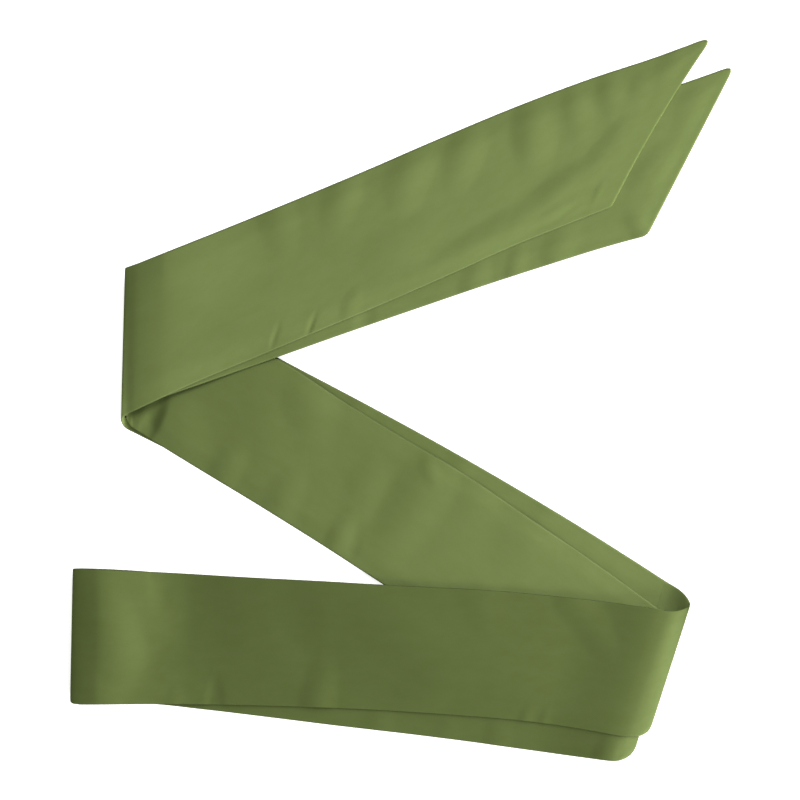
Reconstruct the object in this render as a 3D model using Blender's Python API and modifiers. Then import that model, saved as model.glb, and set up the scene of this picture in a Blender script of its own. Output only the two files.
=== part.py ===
"""Plain satin dress sash, folded in half and laid in a zigzag of three legs on a flat surface.

The sash is one long self-faced strip, 4 in wide with slanted ends. It is folded in half at its middle, and the two
halves are laid together: the outer half is on top in the lower and upper legs and underneath in the middle leg.
Six stretches show, and each is one solid that carries the fold it comes out of. All sizes are in millimetres from
the middle of the folded sash, X to the right, Y away from the viewer and Z up from the surface it lies on.
"""

from collections import namedtuple
from math import cos, radians, sin

import bmesh
import bpy
import numpy as np

MM = 0.001

# Cloth: two plies of satin with their seam allowances pressed between them
WALL = 1.0
LAYER_GAP = 0.5
CUT_GAP = 0.4
PITCH = WALL + LAYER_GAP

# Spacing of the sections along a leg, and the number of strips across it
SECTION_SPACING = 11.0
STRIPS = 11
CROWN_STEPS = 7
HEEL_STEPS = 4

# How far the cloth takes to come down past the edge of what it lies on
OFF_MIDDLE_LEG = 42.0
OFF_UNDER_LAYER = 20.0
EDGE_MARGIN = 1.0

# Colour and finish of the satin
SATIN_COLOUR = (0.155, 0.195, 0.070, 1.0)
SATIN_ROUGHNESS = 0.45

# One section across a stretch: where it meets the stretch's upper and lower edge
Section = namedtuple("Section", "upper_x upper_y lower_x lower_y")

# An edge of a layer underneath, with the bare side on the left of its direction
Edge = namedtuple("Edge", "from_x from_y to_x to_y")

# A soft ridge in the cloth, along a line
Ridge = namedtuple("Ridge", "from_x from_y to_x to_y height half_width")

# A fold. x, y and angle give its crest line, and side is +1 where the cloth lies to the right of it. The cloth is
# highest at crown_inset inside the crest and back on the layer below at heel_inset. The last six columns give where
# its lower and upper edges are along the crest line, at the crown, the nose and the heel.
Fold = namedtuple(
    "Fold",
    "x y angle side crown_inset heel_inset nose_height heel_height "
    "crown_lower crown_upper nose_lower nose_upper heel_lower heel_upper",
)

END_FOLD = Fold(-257.0, -234.0, 88.85, 1, 15.0, 8.0, 5.0, 0.0, -2.6, 103.0, -2.0, 103.0, -3.0, 103.0)
RIGHT_OUTER_FOLD = Fold(196.5, -251.0, 72.1, -1, 22.0, 18.0, 7.0, 0.0, -17.7, 85.0, -6.5, 96.2, 1.2, 106.4)
RIGHT_INNER_FOLD = Fold(184.0, -269.0, 73.8, -1, 15.0, 6.0, 5.0, PITCH, -16.8, 86.0, -4.0, 95.0, 4.0, 104.0)
LEFT_OUTER_FOLD = Fold(-217.5, -12.0, 88.5, 1, 17.0, 10.0, 5.5, 0.0, 8.0, 122.3, -1.5, 115.0, -13.0, 102.0)
LEFT_INNER_FOLD = Fold(-214.0, -8.0, 88.5, 1, 14.5, 6.0, 4.8, PITCH, 5.6, 109.4, -2.0, 104.5, -14.4, 98.0)

# How high each fold stands at its crown above the flat stack, and how far it takes to settle
END_SWELL, END_SETTLE = 7.6, 70.0
RIGHT_SWELL, RIGHT_SETTLE = 3.6, 52.0
LEFT_SWELL, LEFT_SETTLE = 3.2, 66.0

# Edges that the upper layers come down over
MIDDLE_LEG_LOWER_EDGE = Edge(177.5, -262.5, -16.0, -143.0)
MIDDLE_LEG_UPPER_EDGE = Edge(-208.5, 94.5, -91.0, 32.5)
LOWER_LEG_UNDER_EDGE = Edge(-94.0, -144.0, 195.0, -179.0)
UPPER_LEG_UNDER_EDGE = Edge(-78.0, 147.0, 222.0, 247.5)

# Sections of each stretch, from left to right between its folds
LOWER_LEG_TOP = (
    Section(-180.0, -134.5, -180.0, -237.0),
    Section(-120.0, -138.0, -125.0, -238.0),
    Section(-60.0, -141.0, -70.0, -239.5),
    Section(0.0, -144.5, -15.0, -242.0),
    Section(60.0, -147.5, 40.0, -245.5),
    Section(120.0, -152.5, 95.0, -250.0),
    Section(160.0, -157.0, 130.0, -254.5),
)
LOWER_LEG_UNDER = (
    Section(-200.0, -133.5, -200.0, -236.8),
    Section(-147.0, -139.0, -150.0, -241.8),
    Section(-94.0, -144.5, -100.0, -247.8),
    Section(-41.0, -150.5, -50.0, -254.0),
    Section(12.0, -157.0, 0.0, -259.8),
    Section(66.0, -164.5, 50.0, -266.0),
    Section(120.0, -172.5, 95.0, -272.2),
    Section(158.0, -178.0, 130.0, -276.9),
)
MIDDLE_LEG_TOP = (
    Section(-150.0, 62.0, -160.0, -52.0),
    Section(-90.0, 29.0, -110.0, -82.3),
    Section(-45.0, -0.5, -62.0, -112.3),
    Section(0.0, -28.0, -16.0, -142.0),
    Section(50.0, -57.5, 31.0, -172.0),
    Section(100.0, -91.5, 78.0, -201.0),
    Section(150.0, -125.5, 124.5, -230.0),
)
MIDDLE_LEG_UNDER = (
    Section(-150.0, 63.0, -160.0, -49.5),
    Section(-94.0, 32.5, -104.0, -79.0),
    Section(-31.5, -0.5, -42.0, -112.0),
    Section(31.0, -34.5, 20.0, -146.0),
    Section(93.5, -70.5, 82.0, -181.0),
    Section(156.0, -108.5, 140.0, -217.0),
)
UPPER_LEG_TOP = (
    Section(-150.0, 128.5, -160.0, 13.5),
    Section(-90.0, 153.0, -110.0, 34.5),
    Section(-30.0, 178.0, -60.0, 55.5),
    Section(30.0, 204.0, -10.0, 76.5),
    Section(90.0, 229.0, 40.0, 98.5),
    Section(150.0, 251.5, 90.0, 121.0),
    Section(200.0, 268.0, 130.0, 137.0),
    Section(238.5, 280.9, 165.0, 151.0),
)
UPPER_LEG_UNDER = (
    Section(-150.0, 119.0, -150.0, 14.5),
    Section(-90.0, 141.5, -93.0, 34.5),
    Section(-30.0, 164.0, -38.0, 54.0),
    Section(30.0, 184.0, 18.0, 73.3),
    Section(90.0, 204.0, 70.0, 91.0),
    Section(150.0, 224.0, 118.0, 106.5),
    Section(205.0, 242.0, 158.0, 119.0),
    Section(257.0, 258.5, 194.0, 130.0),
)

# The largest soft ridges of the stretches that lie on top
LOWER_LEG_RIDGES = (
    Ridge(-233.0, -176.0, -197.0, -226.0, 0.9, 20.0),
    Ridge(-66.0, -234.0, -61.0, -212.0, 0.6, 18.0),
    Ridge(150.0, -172.0, 140.0, -190.0, 0.8, 22.0),
)
MIDDLE_LEG_RIDGES = (
    Ridge(-139.0, -58.0, -131.0, -43.0, 0.6, 16.0),
    Ridge(-90.0, -84.0, -82.0, -70.0, 0.5, 16.0),
    Ridge(26.0, -56.0, -10.0, -114.0, 1.2, 24.0),
    Ridge(108.0, -90.0, 93.0, -118.0, 0.8, 25.0),
)
UPPER_LEG_RIDGES = (
    Ridge(-46.0, 166.0, -49.0, 148.0, 0.6, 18.0),
    Ridge(12.0, 192.0, 4.0, 168.0, 0.8, 20.0),
    Ridge(54.0, 210.0, 47.0, 184.0, 0.8, 18.0),
    Ridge(102.0, 226.0, 104.0, 198.0, 1.3, 18.0),
    Ridge(168.0, 250.0, 170.0, 224.0, 0.7, 18.0),
    Ridge(30.0, 104.0, 92.0, 141.0, 0.6, 18.0),
    Ridge(101.0, 147.0, 147.0, 178.0, 0.9, 18.0),
)


def ramp(distance, reach):
    """0 up to a distance of 0, 1 from reach on, and a soft S between."""
    t = np.clip(distance / reach, 0.0, 1.0)
    return t * t * (3.0 - 2.0 * t)


def beyond(edge, x, y):
    """How far a point lies past an edge, on its bare side."""
    run_x, run_y = edge.to_x - edge.from_x, edge.to_y - edge.from_y
    return (run_x * (y - edge.from_y) - run_y * (x - edge.from_x)) / np.hypot(run_x, run_y)


def ridges(table, x, y):
    """Height that a stretch's ridges add, each fading out at its half width."""
    added = np.zeros_like(x)
    for ridge in table:
        run_x, run_y = ridge.to_x - ridge.from_x, ridge.to_y - ridge.from_y
        t = ((x - ridge.from_x) * run_x + (y - ridge.from_y) * run_y) / (run_x**2 + run_y**2)
        t = np.clip(t, 0.0, 1.0)
        away = np.hypot(x - ridge.from_x - t * run_x, y - ridge.from_y - t * run_y) / ridge.half_width
        added += ridge.height * np.clip(1.0 - away**2, 0.0, 1.0) ** 2
    return added


def fold_axes(fold):
    """Unit vectors along the crest line, and from it into the cloth."""
    angle = radians(fold.angle)
    along = np.array([cos(angle), sin(angle)])
    inward = fold.side * np.array([along[1], -along[0]])
    return along, inward


def swell(fold, height, settle, x, y):
    """Height that a fold keeps from its crown until it has settled."""
    inward = fold_axes(fold)[1]
    inset = (x - fold.x) * inward[0] + (y - fold.y) * inward[1]
    return height * (1.0 - ramp(inset - fold.crown_inset, settle))


def lower_leg_under(x, y):
    """Upper face of the inner half in the lower leg, which crosses the middle leg at the right."""
    over_middle = 1.0 - ramp(beyond(MIDDLE_LEG_LOWER_EDGE, x, y) - EDGE_MARGIN, OFF_MIDDLE_LEG)
    return WALL + 2 * PITCH * over_middle + swell(RIGHT_OUTER_FOLD, RIGHT_SWELL, RIGHT_SETTLE, x, y)


def lower_leg_top(x, y):
    """Upper face of the outer half in the lower leg, which covers the inner half."""
    over_under = 1.0 - ramp(beyond(LOWER_LEG_UNDER_EDGE, x, y) - EDGE_MARGIN, OFF_UNDER_LAYER)
    raised = swell(END_FOLD, END_SWELL, END_SETTLE, x, y) + ridges(LOWER_LEG_RIDGES, x, y)
    return lower_leg_under(x, y) + PITCH * over_under + raised


def middle_leg_under(x, y):
    """Upper face of the outer half in the middle leg, flat on the surface."""
    return np.full_like(x, WALL)


def middle_leg_top(x, y):
    """Upper face of the inner half in the middle leg."""
    return middle_leg_under(x, y) + PITCH + ridges(MIDDLE_LEG_RIDGES, x, y)


def upper_leg_under(x, y):
    """Upper face of the inner half in the upper leg, which crosses the middle leg at the left."""
    over_middle = 1.0 - ramp(beyond(MIDDLE_LEG_UPPER_EDGE, x, y) - EDGE_MARGIN, OFF_MIDDLE_LEG)
    return WALL + 2 * PITCH * over_middle + swell(LEFT_OUTER_FOLD, LEFT_SWELL, LEFT_SETTLE, x, y)


def upper_leg_top(x, y):
    """Upper face of the outer half in the upper leg, which covers the inner half."""
    over_under = 1.0 - ramp(beyond(UPPER_LEG_UNDER_EDGE, x, y) - EDGE_MARGIN, OFF_UNDER_LAYER)
    return upper_leg_under(x, y) + PITCH * over_under + ridges(UPPER_LEG_RIDGES, x, y)


def hermite(knots, values, slopes, at):
    """Values at the given places on the cubic curve through the knots with these slopes."""
    span = np.clip(np.searchsorted(knots, at, side="right") - 1, 0, len(knots) - 2)
    width = (knots[span + 1] - knots[span])[:, None]
    t = (at - knots[span])[:, None] / width
    start = (1 + 2 * t) * (1 - t) ** 2 * values[span] + t * (1 - t) ** 2 * width * slopes[span]
    end = t**2 * (3 - 2 * t) * values[span + 1] - t**2 * (1 - t) * width * slopes[span + 1]
    return start + end


def across(upper, lower):
    """Points across the cloth from its lower to its upper edge, one row for each section."""
    share = np.linspace(0.0, 1.0, STRIPS + 1)[None, :, None]
    return lower[:, None, :] * (1.0 - share) + upper[:, None, :] * share


def fold_line(fold, inset, lower, upper):
    """The section that lies at one inset inside a fold's crest."""
    along, inward = fold_axes(fold)
    start = np.array([fold.x, fold.y]) + inset * inward
    return Section(*(start + upper * along), *(start + lower * along))


def crown_line(fold):
    return fold_line(fold, fold.crown_inset, fold.crown_lower, fold.crown_upper)


def heel_line(fold):
    """The cut just inside a fold's heel, a seam's gap away from the end of the folded piece."""
    return fold_line(fold, fold.heel_inset + CUT_GAP, fold.heel_lower, fold.heel_upper)


def leg(first, table, last, height):
    """Points on a stretch between two end sections, on smooth edges through the table's sections."""
    knots = np.array([first, *table, last])
    middles = (knots[:, :2] + knots[:, 2:]) / 2
    places = np.concatenate([[0.0], np.cumsum(np.linalg.norm(np.diff(middles, axis=0), axis=1))])
    slopes = np.gradient(knots, places, axis=0, edge_order=2)
    stops = np.linspace(0.0, places[-1], round(places[-1] / SECTION_SPACING) + 1)
    sections = hermite(places, knots, slopes, stops)
    plan = across(sections[:, :2], sections[:, 2:])
    return np.dstack([plan, height(plan[..., 0], plan[..., 1])])


def turn(fold, crown, inner):
    """Points round a fold, from just past its crown to its heel: two quarter ellipses that meet at the nose.

    crown and inner are the leg's section at the crown and the next one in, whose edges the fold carries on.
    """
    crown_turns = np.radians(np.linspace(0.0, 90.0, CROWN_STEPS + 1))
    heel_turns = np.radians(np.linspace(0.0, 90.0, HEEL_STEPS + 1))[1:]
    insets = np.concatenate(
        [fold.crown_inset * (1 - np.sin(crown_turns)), fold.heel_inset * (1 - np.cos(heel_turns))]
    )
    rise = (crown[:, 2] - fold.nose_height)[None, :] * np.cos(crown_turns)[:, None]
    dip = (fold.nose_height - fold.heel_height) * np.sin(heel_turns)[:, None]
    heights = fold.nose_height + np.concatenate([rise, np.repeat(-dip, STRIPS + 1, axis=1)])

    steps = np.hypot(np.diff(insets), np.diff(heights.mean(axis=1)))
    lengths = np.concatenate([[0.0], np.cumsum(steps)])
    knots = lengths[[0, CROWN_STEPS, -1]]
    edges = np.array(
        [
            [fold.crown_lower, fold.crown_upper],
            [fold.nose_lower, fold.nose_upper],
            [fold.heel_lower, fold.heel_upper],
        ]
    )
    along, inward = fold_axes(fold)
    leg_run = (crown - inner)[[0, -1], :2]
    crown_slope = -(leg_run @ along) / (leg_run @ inward)
    runs = np.diff(edges, axis=0) / np.diff(knots)[:, None]
    slopes = np.array([crown_slope, runs.mean(axis=0), runs[1]])
    edges = hermite(knots, edges, slopes, lengths)

    crest = np.array([fold.x, fold.y]) + insets[:, None] * inward
    plan = across(crest + edges[:, 1:] * along, crest + edges[:, :1] * along)
    return np.dstack([plan, heights])[1:]


def satin(name):
    material = bpy.data.materials.new(name)
    material.use_nodes = True
    shader = material.node_tree.nodes["Principled BSDF"]
    shader.inputs["Base Color"].default_value = SATIN_COLOUR
    shader.inputs["Roughness"].default_value = SATIN_ROUGHNESS
    shader.inputs["Metallic"].default_value = 0.0
    return material


def stretch(name, points, collection, parent):
    """One stretch of the sash: its outer face lofted through the points, then given the cloth's wall."""
    mesh = bpy.data.meshes.new(name)
    loft = bmesh.new()
    rows = [[loft.verts.new(point * MM) for point in row] for row in points]
    for row, next_row in zip(rows, rows[1:]):
        for a, b, c, d in zip(row, next_row, next_row[1:], row[1:]):
            loft.faces.new((a, b, c, d))
    loft.to_mesh(mesh)
    loft.free()
    mesh.shade_smooth()
    mesh.materials.append(satin(name + "_satin"))
    piece = bpy.data.objects.new(name, mesh)
    piece.parent = parent
    collection.objects.link(piece)
    wall = piece.modifiers.new("Cloth wall", "SOLIDIFY")
    wall.thickness = WALL * MM
    wall.offset = -1.0
    return piece


def build():
    for old in list(bpy.data.objects):
        bpy.data.objects.remove(old, do_unlink=True)

    collection = bpy.data.collections.new("dress_sash")
    bpy.context.scene.collection.children.link(collection)
    sash = bpy.data.objects.new("sash_centre", None)
    collection.objects.link(sash)

    lower_top = leg(crown_line(END_FOLD), LOWER_LEG_TOP, crown_line(RIGHT_OUTER_FOLD), lower_leg_top)
    lower_under = leg(heel_line(END_FOLD), LOWER_LEG_UNDER, crown_line(RIGHT_INNER_FOLD), lower_leg_under)
    middle_top = leg(
        heel_line(LEFT_INNER_FOLD), MIDDLE_LEG_TOP, heel_line(RIGHT_INNER_FOLD), middle_leg_top
    )
    middle_under = leg(
        heel_line(LEFT_OUTER_FOLD), MIDDLE_LEG_UNDER, heel_line(RIGHT_OUTER_FOLD), middle_leg_under
    )
    upper_top = leg(crown_line(LEFT_OUTER_FOLD), UPPER_LEG_TOP[:-1], UPPER_LEG_TOP[-1], upper_leg_top)
    upper_under = leg(
        crown_line(LEFT_INNER_FOLD), UPPER_LEG_UNDER[:-1], UPPER_LEG_UNDER[-1], upper_leg_under
    )

    end_turn = turn(END_FOLD, lower_top[0], lower_top[1])
    right_outer_turn = turn(RIGHT_OUTER_FOLD, lower_top[-1], lower_top[-2])
    right_inner_turn = turn(RIGHT_INNER_FOLD, lower_under[-1], lower_under[-2])
    left_outer_turn = turn(LEFT_OUTER_FOLD, upper_top[0], upper_top[1])
    left_inner_turn = turn(LEFT_INNER_FOLD, upper_under[0], upper_under[1])

    stretches = {
        "upper_leg_top": [left_outer_turn[::-1], upper_top],
        "upper_leg_under": [left_inner_turn[::-1], upper_under],
        "middle_leg_top": [middle_top],
        "middle_leg_under": [middle_under],
        "lower_leg_top": [end_turn[::-1], lower_top, right_outer_turn],
        "lower_leg_under": [lower_under, right_inner_turn],
    }
    for name, runs in stretches.items():
        stretch(name, np.concatenate(runs), collection, sash)


build()
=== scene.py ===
# %% [markdown]
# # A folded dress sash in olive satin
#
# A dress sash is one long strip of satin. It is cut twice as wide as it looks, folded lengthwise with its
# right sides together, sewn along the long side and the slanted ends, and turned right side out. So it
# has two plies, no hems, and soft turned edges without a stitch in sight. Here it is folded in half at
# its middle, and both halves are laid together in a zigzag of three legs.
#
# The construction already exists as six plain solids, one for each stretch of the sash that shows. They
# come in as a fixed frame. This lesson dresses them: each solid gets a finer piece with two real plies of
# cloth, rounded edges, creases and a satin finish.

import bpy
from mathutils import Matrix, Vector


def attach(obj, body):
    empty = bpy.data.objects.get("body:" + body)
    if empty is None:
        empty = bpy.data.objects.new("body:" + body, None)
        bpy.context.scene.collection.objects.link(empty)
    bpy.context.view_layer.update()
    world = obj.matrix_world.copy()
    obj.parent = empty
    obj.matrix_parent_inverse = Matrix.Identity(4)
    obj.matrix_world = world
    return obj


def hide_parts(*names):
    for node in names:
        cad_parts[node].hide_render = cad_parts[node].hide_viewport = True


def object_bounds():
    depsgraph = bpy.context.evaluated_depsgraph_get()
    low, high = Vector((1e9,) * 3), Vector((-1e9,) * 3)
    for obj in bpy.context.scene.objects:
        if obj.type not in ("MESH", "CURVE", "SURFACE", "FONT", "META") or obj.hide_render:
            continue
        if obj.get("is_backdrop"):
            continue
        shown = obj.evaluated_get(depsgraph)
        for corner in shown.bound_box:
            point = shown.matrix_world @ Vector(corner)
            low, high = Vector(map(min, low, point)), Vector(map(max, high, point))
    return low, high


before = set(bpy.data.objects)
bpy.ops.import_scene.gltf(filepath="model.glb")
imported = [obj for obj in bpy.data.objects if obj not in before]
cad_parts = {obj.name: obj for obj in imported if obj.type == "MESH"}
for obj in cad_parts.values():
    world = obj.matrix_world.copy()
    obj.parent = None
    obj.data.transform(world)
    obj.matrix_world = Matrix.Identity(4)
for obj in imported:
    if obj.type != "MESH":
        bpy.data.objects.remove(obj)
cad_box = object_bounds()
print("solids to dress:", ", ".join(sorted(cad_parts)))

# %% [markdown]
# ## The camera
#
# The sash was photographed from straight above, as flat goods are, and from far enough away that nothing
# looks foreshortened. A long lens does that. The distance follows from the width of surface that the
# picture spans: distance is to width as the lens is to the sensor.

# %% Camera straight above
from math import cos, pi, radians, sin

import bpy
import numpy as np
from mathutils import Vector

# Millimetres, apart from FARTHEST_SEEN, which is metres.
MM = 0.001
VIEW_WIDTH = 624.0
VIEW_CENTRE = (-0.2, 0.2)
VIEW_LEVEL = 3.0
LENS, SENSOR = 150.0, 36.0
FARTHEST_SEEN = 20.0

scene = bpy.context.scene
camera_data = bpy.data.cameras.new("straight_above")
camera_data.lens = LENS
camera_data.sensor_width = SENSOR
camera_data.clip_end = FARTHEST_SEEN
camera = bpy.data.objects.new("straight_above", camera_data)
camera_height = VIEW_LEVEL + VIEW_WIDTH * LENS / SENSOR
camera.location = (VIEW_CENTRE[0] * MM, VIEW_CENTRE[1] * MM, camera_height * MM)
scene.collection.objects.link(camera)
scene.camera = camera
print(f"camera {camera_height / 1000:.2f} m above the sash")

# %% [markdown]
# ## The cloth in numbers
#
# All sizes here are millimetres, from the middle of the folded sash. The finished band is a little over
# 100 mm wide. Two plies of dress satin, each 0.2 mm thick, with the turnings pressed between them, make a
# band about 1 mm thick. The pitch is the step from the top of one laid layer to the top of the next.

# %% Cloth sizes
BAND = 101.4
WALL = 1.0
PLY = 0.2
PITCH = 1.5
print(f"band {BAND:.0f} mm wide, {WALL:.1f} mm thick, of two {PLY} mm plies")

# %% [markdown]
# ## The plan of the zigzag
#
# A strip that is folded flat keeps its width, so each leg is known from where its two edges run. One way
# to describe it is a long list of outline points. A short table of sections says the same in fewer
# numbers: each row is a line across the cloth, from its upper to its lower edge, and a smooth curve runs
# through the rows.
#
# A fold is where the strip turns over on itself. Satin doesn't crease there by its own weight: it stands
# up in a soft crown about 15 to 30 mm inside the crest, comes round the nose and goes back under to its
# heel. The threads keep the direction of the leg almost to the nose, which matters, because satin changes
# its shade with it.

# %% Sections across the legs
from collections import namedtuple

Section = namedtuple("Section", "upper_x upper_y lower_x lower_y")

LOWER_LEG_TOP = (
    Section(-180.0, -134.5, -180.0, -237.0),
    Section(-120.0, -138.0, -125.0, -238.0),
    Section(-60.0, -141.0, -70.0, -239.5),
    Section(0.0, -144.5, -15.0, -242.0),
    Section(60.0, -147.5, 40.0, -245.5),
    Section(120.0, -152.5, 95.0, -250.0),
    Section(160.0, -157.0, 130.0, -254.5),
)
LOWER_LEG_UNDER = (
    Section(-200.0, -133.5, -200.0, -236.8),
    Section(-147.0, -139.0, -150.0, -241.8),
    Section(-94.0, -144.5, -100.0, -247.8),
    Section(-41.0, -150.5, -50.0, -254.0),
    Section(12.0, -157.0, 0.0, -259.8),
    Section(66.0, -164.5, 50.0, -266.0),
    Section(120.0, -172.5, 95.0, -272.2),
    Section(158.0, -178.0, 130.0, -276.9),
)
MIDDLE_LEG_TOP = (
    Section(-150.0, 62.0, -160.0, -52.0),
    Section(-90.0, 29.0, -110.0, -82.3),
    Section(-45.0, -0.5, -62.0, -112.3),
    Section(0.0, -28.0, -16.0, -142.0),
    Section(50.0, -57.5, 31.0, -172.0),
    Section(100.0, -91.5, 78.0, -201.0),
    Section(150.0, -125.5, 124.5, -230.0),
)
MIDDLE_LEG_UNDER = (
    Section(-150.0, 63.0, -160.0, -49.5),
    Section(-94.0, 32.5, -104.0, -79.0),
    Section(-31.5, -0.5, -42.0, -112.0),
    Section(31.0, -34.5, 20.0, -146.0),
    Section(93.5, -70.5, 82.0, -181.0),
    Section(156.0, -108.5, 140.0, -217.0),
)
UPPER_LEG_TOP = (
    Section(-150.0, 128.5, -160.0, 13.5),
    Section(-90.0, 153.0, -110.0, 34.5),
    Section(-30.0, 178.0, -60.0, 55.5),
    Section(30.0, 204.0, -10.0, 76.5),
    Section(90.0, 229.0, 40.0, 98.5),
    Section(150.0, 251.5, 90.0, 121.0),
    Section(200.0, 268.0, 130.0, 137.0),
    Section(245.0, 285.0, 165.0, 150.7),
)
UPPER_LEG_UNDER = (
    Section(-150.0, 119.0, -150.0, 14.5),
    Section(-90.0, 141.5, -93.0, 34.5),
    Section(-30.0, 164.0, -38.0, 54.0),
    Section(30.0, 184.0, 18.0, 73.3),
    Section(90.0, 204.0, 70.0, 91.0),
    Section(150.0, 224.0, 118.0, 106.5),
    Section(205.0, 242.0, 158.0, 119.0),
    Section(261.5, 261.8, 193.0, 128.5),
)
print("sections:", sum(map(len, (LOWER_LEG_TOP, MIDDLE_LEG_TOP, UPPER_LEG_TOP))), "for the legs on top")

# %% [markdown]
# A fold is a crest line, given by a point and an angle, and a few measures inside it. side is +1 where the
# cloth lies to the right of that line. Crown, nose and heel each say where the band's lower and upper
# edges are, measured along the line.
#
# The last six columns are 0 or 1 on a plain fold. The turns say how fast the two edges move on at the
# nose, shoulder how far before the nose they leave the leg's own direction, and round_lower how round the
# lower corner is. facet is how evenly the cloth slopes from crown to nose, and opening how straight it
# rises where one sees into the fold's upper end.

# %% Folds
Fold = namedtuple(
    "Fold",
    "x y angle side crown_inset heel_inset nose_height heel_height "
    "crown_lower crown_upper nose_lower nose_upper heel_lower heel_upper "
    "lower_turn upper_turn shoulder round_lower facet opening",
    defaults=(1.0, 1.0, 0.0, 0.0, 0.0, 0.0),
)

END_FOLD = Fold(
    x=-257.0, y=-234.0, angle=88.85, side=1,
    crown_inset=19.0, heel_inset=8.0, nose_height=8.8, heel_height=0.0,
    crown_lower=-2.4, crown_upper=103.0, nose_lower=-2.0, nose_upper=103.0,
    heel_lower=-3.0, heel_upper=103.0, shoulder=10.0, round_lower=3.0,
)
RIGHT_OUTER_FOLD = Fold(
    x=196.5, y=-251.0, angle=72.1, side=-1,
    crown_inset=24.0, heel_inset=24.0, nose_height=6.8, heel_height=0.0,
    crown_lower=-18.3, crown_upper=85.2, nose_lower=-10.6, nose_upper=96.0,
    heel_lower=2.8, heel_upper=107.8, upper_turn=2.5, round_lower=9.0, facet=0.7, opening=1.0,
)
RIGHT_INNER_FOLD = Fold(
    x=184.0, y=-269.0, angle=73.8, side=-1,
    crown_inset=17.0, heel_inset=6.0, nose_height=6.0, heel_height=PITCH,
    crown_lower=-17.4, crown_upper=86.0, nose_lower=-11.5, nose_upper=95.0,
    heel_lower=4.0, heel_upper=104.0, lower_turn=0.3, round_lower=13.0, facet=0.7,
)
LEFT_OUTER_FOLD = Fold(
    x=-217.5, y=-12.0, angle=88.5, side=1,
    crown_inset=30.0, heel_inset=10.0, nose_height=6.5, heel_height=0.0,
    crown_lower=13.9, crown_upper=127.6, nose_lower=-3.5, nose_upper=115.0,
    heel_lower=-13.0, heel_upper=102.0, lower_turn=2.0, upper_turn=0.7, shoulder=10.0,
)
LEFT_INNER_FOLD = Fold(
    x=-214.0, y=-8.0, angle=88.5, side=1,
    crown_inset=14.5, heel_inset=6.0, nose_height=5.2, heel_height=PITCH,
    crown_lower=5.6, crown_upper=109.4, nose_lower=-5.0, nose_upper=104.5,
    heel_lower=-14.0, heel_upper=98.0, lower_turn=1.6, shoulder=10.0,
)
FOLDS = (END_FOLD, RIGHT_OUTER_FOLD, RIGHT_INNER_FOLD, LEFT_OUTER_FOLD, LEFT_INNER_FOLD)
crown_insets = [fold.crown_inset for fold in FOLDS]
print("crowns lie", min(crown_insets), "to", max(crown_insets), "mm inside their crests")

# %% [markdown]
# ## How high the cloth lies
#
# Each layer lies on the one below. Where a layer passes the edge of what it lies on, it comes down to the
# surface in a soft slope. Near a fold the whole stack keeps some of the crown's height and settles
# slowly. Both are the same gesture, an S-shaped ramp, so one small function serves for all of them.

# %% Slopes and swells
Edge = namedtuple("Edge", "from_x from_y to_x to_y")

MIDDLE_LEG_LOWER_EDGE = Edge(177.5, -262.5, -16.0, -143.0)
MIDDLE_LEG_UPPER_EDGE = Edge(-208.5, 94.5, -91.0, 32.5)
LOWER_LEG_UNDER_EDGE = Edge(-94.0, -144.0, 195.0, -179.0)
UPPER_LEG_UNDER_EDGE = Edge(-78.0, 147.0, 222.0, 247.5)
# Past an edge the cloth stays level for EDGE_MARGIN, and then comes down over one of these lengths.
EDGE_MARGIN = 1.0
OFF_MIDDLE_LEG, OFF_UNDER_LAYER = 90.0, 60.0

# How much higher than the stack the cloth stands at a crown, and over what length it settles from there.
END_SWELL, END_SETTLE = 8.5, 75.0
RIGHT_SWELL, RIGHT_SETTLE = 3.6, 60.0
LEFT_SWELL, LEFT_SETTLE = 2.8, 84.0
# A power below 1 makes it settle faster at first.
SETTLE_POWER = 0.8


def ramp(distance, reach):
    """0 up to a distance of 0, 1 from reach on, and a soft S between."""
    t = np.clip(distance / reach, 0.0, 1.0)
    return t * t * (3.0 - 2.0 * t)


def beyond(edge, x, y):
    """How far a point lies past an edge, on its bare side."""
    run_x, run_y = edge.to_x - edge.from_x, edge.to_y - edge.from_y
    return (run_x * (y - edge.from_y) - run_y * (x - edge.from_x)) / np.hypot(run_x, run_y)


def fold_axes(fold):
    """Unit vectors along the crest line, and from it into the cloth."""
    angle = radians(fold.angle)
    along = np.array([cos(angle), sin(angle)])
    return along, fold.side * np.array([along[1], -along[0]])


def swell(fold, height, settle, x, y):
    """Height that a fold keeps from its crown until it has settled."""
    inward = fold_axes(fold)[1]
    inset = (x - fold.x) * inward[0] + (y - fold.y) * inward[1]
    share = np.clip((inset - fold.crown_inset) / settle, 0.0, 1.0)
    return height * (1.0 - ramp(share**SETTLE_POWER, 1.0))


print("crowns stand", END_SWELL, RIGHT_SWELL, "and", LEFT_SWELL, "mm above the stack")

# %% Levels of the six stretches
# Each of these gives the height of a stretch's outer face at points in plan.
def lower_leg_under(x, y):
    over_middle = 1.0 - ramp(beyond(MIDDLE_LEG_LOWER_EDGE, x, y) - EDGE_MARGIN, OFF_MIDDLE_LEG)
    return WALL + 2 * PITCH * over_middle + swell(RIGHT_OUTER_FOLD, RIGHT_SWELL, RIGHT_SETTLE, x, y)


def lower_leg_top(x, y):
    over_under = 1.0 - ramp(beyond(LOWER_LEG_UNDER_EDGE, x, y) - EDGE_MARGIN, OFF_UNDER_LAYER)
    return lower_leg_under(x, y) + PITCH * over_under + swell(END_FOLD, END_SWELL, END_SETTLE, x, y)


def middle_leg_under(x, y):
    return np.full_like(x, WALL)


def middle_leg_top(x, y):
    return middle_leg_under(x, y) + PITCH


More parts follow.
